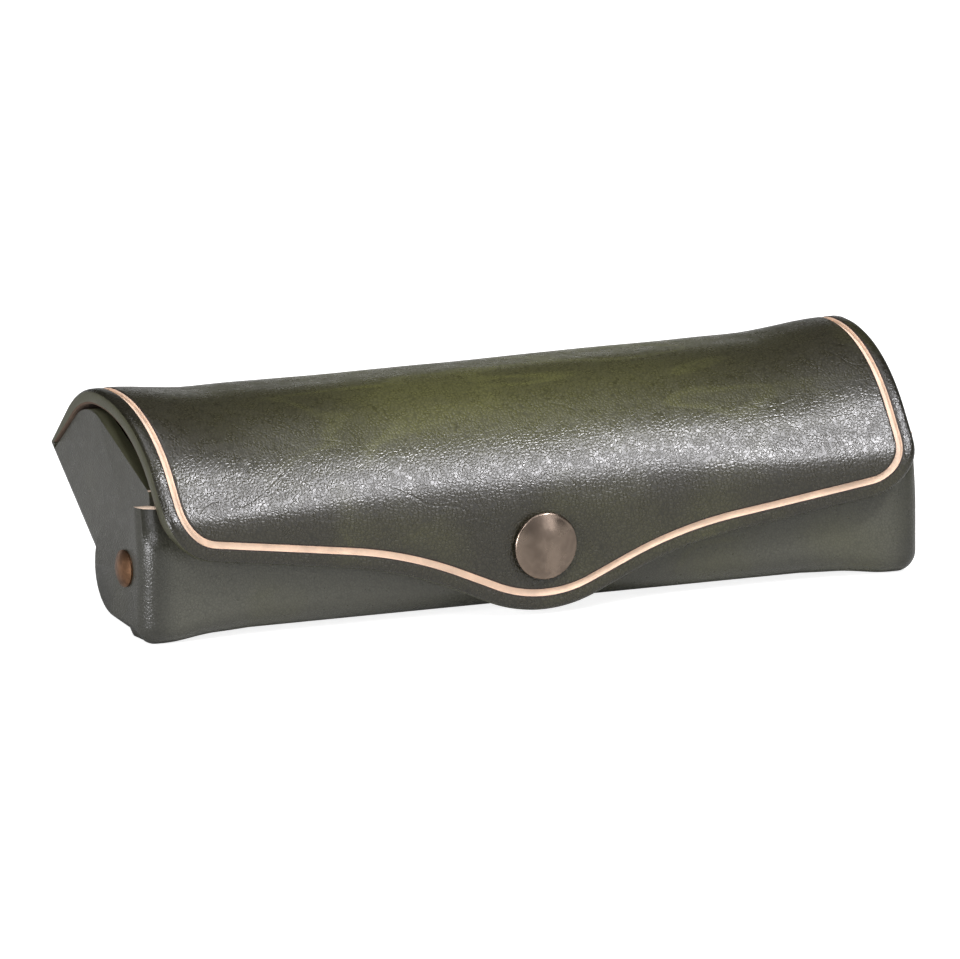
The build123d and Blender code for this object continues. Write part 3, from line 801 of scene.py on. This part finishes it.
METAL = {
    BRASS: ("cap_stem", "snap_socket", "snap_stud", "stud_eyelet"),
    STEEL: ("socket_spring",),
    BRONZE: ("left_rivet_base", "right_rivet_base"),
}
DOME_STEPS, ROLL_STEPS, SPIN_STEPS = 12, 8, 72
CAP_WALL = 0.9 * MM  # width of the rim round the cap's hollow underside
HOLLOW_EDGE, HOLLOW_TOP = 0.55 * MM, 1.6 * MM  # height of that hollow at the rim and in the middle
SHANK_RADIUS, BORE_RADIUS, BORE_END = 1.6 * MM, 0.9 * MM, -1.2 * MM  # of a rivet, heights from its seat


def dress_metal(*names):
    """Gives the frame's own metal pieces their finish."""
    for name in names:
        for piece in METAL[name]:
            obj = frame["nodes"][piece]
            use_materials(obj.data, name)


def dome_profile(reach, edge, top):
    """Points of a shallow dome in (radius, height), from its top on the axis to its edge."""
    sphere = (reach**2 + (top - edge) ** 2) / (2 * (top - edge))
    half = asin(reach / sphere)
    turns = [half * k / DOME_STEPS for k in range(DOME_STEPS + 1)]
    return [(sphere * sin(a), top - sphere + sphere * cos(a)) for a in turns]


def spun(piece, profile, seat, outward, name, body):
    """A metal head spun from its (radius, height) profile round the axis that leaves its seat outward."""
    mesh = bpy.data.meshes.new(piece + "_spun")
    mesh.from_pydata([(r, 0, h) for r, h in profile], [(k, k + 1) for k in range(len(profile) - 1)], [])
    head = new_object(piece + "_spun", mesh)
    bpy.ops.object.mode_set(mode="EDIT")
    bpy.ops.mesh.select_all(action="SELECT")
    bpy.ops.mesh.spin(steps=SPIN_STEPS, angle=2 * pi, center=(0, 0, 0), axis=(0, 0, 1))
    bpy.ops.mesh.select_all(action="SELECT")
    bpy.ops.mesh.remove_doubles(threshold=TOUCHING)
    bpy.ops.mesh.normals_make_consistent(inside=False)
    bpy.ops.object.mode_set(mode="OBJECT")
    head.rotation_mode = "QUATERNION"
    head.rotation_quaternion = Vector(outward).to_track_quat("Z", "Y")
    head.location = seat
    bpy.ops.object.transform_apply(location=True, rotation=True, scale=False)
    use_materials(head.data, name)
    smooth_shading(head, angle=50)
    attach(head, body)
    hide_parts(piece)


def make_cap():
    """The snap's domed cap with its rolled rim, over the stem's flange."""
    s = sizes()
    rim, roll = s.cap_diameter / 2, s.cap_rim / 2
    dome = dome_profile(rim - roll, s.cap_rim, s.cap_height)
    turns = [pi * k / ROLL_STEPS for k in range(1, ROLL_STEPS + 1)]
    rolled = [(rim - roll + roll * sin(a), roll + roll * cos(a)) for a in turns]
    inner = rim - CAP_WALL
    hollow = [(inner, 0), (inner, HOLLOW_EDGE), (0, HOLLOW_TOP)]
    seat = (0, FRONT_Y + s.flap_y, s.snap_z)
    spun("snap_cap", dome + rolled + hollow, seat, (0, -1, 0), BRASS, "cover")


def make_rivet(side):
    """A rivet's domed cap on its seat in the ear, with its hollow shank behind it. side is -1 or 1."""
    s = sizes()
    piece = ("left" if side < 0 else "right") + "_rivet_cap"
    low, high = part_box(piece)
    inmost = ((high.x if side < 0 else low.x), (low.y + high.y) / 2, (low.z + high.z) / 2)
    reach = high.x - low.x - s.rivet_height
    head = s.rivet_diameter / 2
    dome = dome_profile(head, s.rivet_rim, s.rivet_height)
    shank = [(head, 0), (SHANK_RADIUS, 0), (SHANK_RADIUS, -reach)]
    bore = [(BORE_RADIUS, -reach), (BORE_RADIUS, BORE_END), (0, BORE_END)]
    profile = [(r, h + reach) for r, h in dome + shank + bore]
    spun(piece, profile, inmost, (side, 0, 0), BRONZE, "case")


# The stage.

FLOOR_SIDE = 6
FLOOR_LIFT = 0.85  # what only the camera sees added to the floor, so that it renders white
GLOW_TOP, GLOW_FOOT = 0.28, 0.05  # heights on the unit sphere between which the reflections brighten
GLOW_FAINT, GLOW_FULL = 0.04, 0.9
AMBIENT = 0.2
LAMP_COLOUR = (0.97, 0.96, 1.0)
LAMP_TARGET = Vector((0, 0, 20 * MM))
# Softboxes: name, azimuth and elevation in degrees, distance, width and height in metres, and watts. The key
# and its skirts make the bright band along the knee, with a soft lower border.
LAMPS = (
    ("key softbox", 41, 50, 0.9, 0.28, 0.09, 5.4),
    ("upper skirt", 34, 41, 0.9, 0.24, 0.12, 0.8),
    ("lower skirt", 29, 29, 0.9, 0.24, 0.2, 0.4),
    ("front card", 26, 15, 0.9, 0.3, 0.22, 0.45),
    ("left strip", -65, 6, 0.9, 0.26, 0.5, 9.0),
    ("front fill", -36, 42, 0.9, 0.25, 0.25, 2.6),
    ("top fill", 0, 86, 1.2, 0.8, 0.6, 5.0),
)
VIEW_AZIMUTH, VIEW_ELEVATION = -25.0, 12.2
VIEW_TARGET = Vector((-1.38 * MM, 0.0, 22.24 * MM))
VIEW_DISTANCE, VIEW_WIDTH = 0.9, 188.2 * MM


def studio_floor():
    """A matt floor that keeps the case's shadow and shows white to the camera."""
    bpy.ops.mesh.primitive_plane_add(size=FLOOR_SIDE, location=(0, 0, 0))
    floor = bpy.context.object
    floor.name = floor.data.name = "studio_floor"
    made, tree, shader = material("matt white studio floor")
    plug(tree, shader, Base_Color=rgba(colours().floor), Roughness=0.9, Specular_IOR_Level=0.1)
    seen = node(tree, "ShaderNodeLightPath").outputs["Is Camera Ray"]
    lift = node(tree, MATHS, MULTIPLY, _0=seen, _1=FLOOR_LIFT)
    glow = node(tree, "ShaderNodeEmission", Strength=lift)
    both = node(tree, "ShaderNodeAddShader", _0=shader, _1=glow)
    plug(tree, tree.nodes["Material Output"], Surface=both)
    floor.data.materials.append(made)


def studio_world():
    """White to the camera, a faint even light on the object, and a bright horizon in its reflections."""
    world = bpy.context.scene.world or bpy.data.worlds.new("studio")
    bpy.context.scene.world = world
    world.use_nodes = True
    tree = world.node_tree
    path = node(tree, "ShaderNodeLightPath").outputs
    way = node(tree, "ShaderNodeTexCoord").outputs["Generated"]
    up = node(tree, "ShaderNodeSeparateXYZ", Vector=way).outputs["Z"]
    near = node(
        tree, RANGE, EASED,
        Value=up, From_Min=GLOW_TOP, From_Max=GLOW_FOOT, To_Min=GLOW_FAINT, To_Max=GLOW_FULL,
    )
    shiny = node(tree, MATHS, MULTIPLY, _0=path["Is Glossy Ray"], _1=near)
    ambient = node(tree, MATHS, MULTIPLY, _0=path["Is Diffuse Ray"], _1=AMBIENT)
    some = node(tree, MATHS, ADD, _0=shiny, _1=ambient)
    both = node(tree, MATHS, MAXIMUM, _0=some, _1=path["Is Camera Ray"])
    plug(tree, tree.nodes["Background"], Color=(1, 1, 1, 1), Strength=both)


def from_compass(azimuth, elevation):
    """Unit vector towards a compass point: azimuth 0 is in front of the case, positive to its right."""
    a, e = radians(azimuth), radians(elevation)
    return Vector((sin(a) * cos(e), -cos(a) * cos(e), sin(e)))


def aim(obj, way):
    """Turns a lamp or camera that stands in a direction from the case towards it."""
    obj.rotation_mode = "QUATERNION"
    obj.rotation_quaternion = way.to_track_quat("Z", "Y")


def softbox(name, azimuth, elevation, distance, width, height, watts):
    way = from_compass(azimuth, elevation)
    bpy.ops.object.light_add(type="AREA", location=way * distance + LAMP_TARGET)
    lamp = bpy.context.object
    aim(lamp, way)
    lamp.name = lamp.data.name = name
    lamp.data.shape = "RECTANGLE"
    lamp.data.size, lamp.data.size_y = width, height
    lamp.data.energy = watts
    lamp.data.color = LAMP_COLOUR


def photographer():
    """The camera at the photograph's viewing angle: from the front left, a little above."""
    way = from_compass(VIEW_AZIMUTH, VIEW_ELEVATION)
    bpy.ops.object.camera_add(location=VIEW_TARGET + way * VIEW_DISTANCE)
    camera = bpy.context.object
    aim(camera, way)
    camera.data.type = "ORTHO"
    camera.data.ortho_scale = VIEW_WIDTH
    bpy.context.scene.camera = camera


# The add-on's operators.


class CASE_OT_lid(bpy.types.Operator):
    """Adds the lid's leather"""

    bl_idname = "case.lid"
    bl_label = "Lid"

    def execute(self, context):
        make_lid()
        return {"FINISHED"}


class CASE_OT_body(bpy.types.Operator):
    """Adds the folded body's leather"""

    bl_idname = "case.body"
    bl_label = "Body"

    def execute(self, context):
        make_body()
        return {"FINISHED"}


class CASE_OT_strip(bpy.types.Operator):
    """Adds the leather over the hinge bend"""

    bl_idname = "case.strip"
    bl_label = "Hinge strip"

    def execute(self, context):
        make_strip()
        return {"FINISHED"}


class CASE_OT_snap(bpy.types.Operator):
    """Finishes the ring snap"""

    bl_idname = "case.snap"
    bl_label = "Snap"

    def execute(self, context):
        make_cap()
        dress_metal(BRASS, STEEL)
        return {"FINISHED"}


class CASE_OT_rivets(bpy.types.Operator):
    """Finishes the two rivets"""

    bl_idname = "case.rivets"
    bl_label = "Rivets"

    def execute(self, context):
        for side in (-1, 1):
            make_rivet(side)
        dress_metal(BRONZE)
        return {"FINISHED"}


class CASE_OT_stage(bpy.types.Operator):
    """Adds the floor, the lights and the camera"""

    bl_idname = "case.stage"
    bl_label = "Stage"

    def execute(self, context):
        studio_floor()
        studio_world()
        for lamp in LAMPS:
            softbox(*lamp)
        photographer()
        return {"FINISHED"}


STEPS = ("lid", "body", "strip", "snap", "rivets", "stage")


class CASE_PT_panel(bpy.types.Panel):
    """Lists the case's pieces, sizes and colours"""

    bl_label = "Glasses case"
    bl_space_type = "VIEW_3D"
    bl_region_type = "UI"
    bl_category = "Case"

    def draw(self, context):
        for step in STEPS:
            self.layout.operator("case." + step)
        for group in (context.scene.case_sizes, context.scene.case_colours):
            for key in group.__annotations__:
                self.layout.prop(group, key)


CLASSES = (
    CaseSizes,
    CaseColours,
    CASE_OT_lid,
    CASE_OT_body,
    CASE_OT_strip,
    CASE_OT_snap,
    CASE_OT_rivets,
    CASE_OT_stage,
    CASE_PT_panel,
)


def register():
    for cls in CLASSES:
        bpy.utils.register_class(cls)
    bpy.types.Scene.case_sizes = PointerProperty(type=CaseSizes)
    bpy.types.Scene.case_colours = PointerProperty(type=CaseColours)


def unregister():
    del bpy.types.Scene.case_colours
    del bpy.types.Scene.case_sizes
    for cls in reversed(CLASSES):
        bpy.utils.unregister_class(cls)


def main():
    register()
    bpy.context.scene.view_settings.view_transform = "Standard"
    for step in STEPS:
        getattr(bpy.ops.case, step)()


if __name__ == "__main__":
    main()
